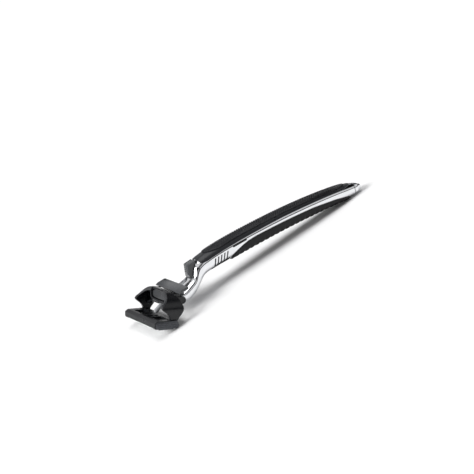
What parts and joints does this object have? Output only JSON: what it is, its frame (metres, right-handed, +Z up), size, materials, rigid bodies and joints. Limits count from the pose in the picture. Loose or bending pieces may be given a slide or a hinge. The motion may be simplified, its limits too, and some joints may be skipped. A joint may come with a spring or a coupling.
{
  "type": "cartridge razor",
  "caption": "Hand razor with a plated, rubber-gripped handle, a sliding release button and a spring-backed pivoting blade unit on a removable yoke.",
  "frame": {"origin": "middle of the footprint, on the surface the razor lies on: it rests blade side down on the guard edge of the blade unit and on the tail", "axes": "+X from the head to the tail, +Y along the blades, +Z up from the surface; the blade plane is turned about Y so that the tail comes down to the surface"},
  "size_m": [0.1436, 0.042, 0.0202],
  "materials": {
    "chrome_plating": "bright plated zinc, mirror polish",
    "satin_grey": "satin moulded plastic",
    "button_grey": "satin moulded plastic",
    "pad_rubber": "ribbed elastomer",
    "belly_rubber": "ribbed elastomer",
    "trim_black": "gloss moulded inlay",
    "nose_plastic": "satin moulded plastic",
    "plunger_plastic": "acetal, as moulded",
    "head_plastic": "satin moulded plastic",
    "fin_rubber": "soft elastomer",
    "strip_pale": "lubricating polymer strip",
    "spring_steel": "drawn wire",
    "clip_metal": "formed sheet, dull",
    "support_steel": "formed strip",
    "blade_steel": "ground and polished strip"
  },
  "bodies": {
    "handle": {"handle_core": "chrome_plating", "grip_bezel": "satin_grey", "top_grip_pad": "pad_rubber", "belly_grip": "belly_rubber", "rail_strip_left": "trim_black", "rail_strip_right": "trim_black", "side_comb_left": "belly_rubber", "side_comb_right": "belly_rubber", "tail_cap": "chrome_plating", "docking_nose": "nose_plastic", "nose_pin_left": "spring_steel", "nose_pin_right": "spring_steel", "plunger_spring": "spring_steel", "button_spring": "spring_steel"},
    "plunger": {"plunger": "plunger_plastic"},
    "release_button": {"release_button": "button_grey"},
    "yoke": {"yoke": "head_plastic"},
    "blade_unit": {"unit_housing": "head_plastic", "guard_fins": "fin_rubber", "comfort_strip": "strip_pale", "blade_1": "blade_steel", "blade_support_1": "support_steel", "blade_2": "blade_steel", "blade_support_2": "support_steel", "blade_3": "blade_steel", "blade_support_3": "support_steel", "end_clip_left": "clip_metal", "end_clip_right": "clip_metal"}
  },
  "joints": [
    {"name": "head_pivot", "type": "hinge", "parent": "yoke", "child": "blade_unit", "pos_m": [-0.061, 0, 0.00334], "axis": [0, 1, 0], "range_deg": [0, 30], "stiffness_Nm_per_rad": 0.003, "springref_deg": -28.65},
    {"name": "plunger_slide", "type": "slide", "parent": "handle", "child": "plunger", "axis": [0.9586, 0, 0.2849], "range_m": [0, 0.0016], "deforming": ["plunger_spring"]},
    {"name": "button_slide", "type": "slide", "parent": "handle", "child": "release_button", "axis": [-0.8793, 0, 0.4763], "range_m": [0, 0.0022], "stiffness_N_per_m": 300, "springref_m": -0.002, "deforming": ["button_spring"]},
    {"name": "head_release", "type": "slide", "parent": "handle", "child": "yoke", "axis": [-0.8793, 0, 0.4763], "range_m": [0, 0.016]}
  ],
  "couplings": [
    {"joint": "plunger_slide", "follows": "head_pivot", "m_per_rad": 0.002838}
  ]
}
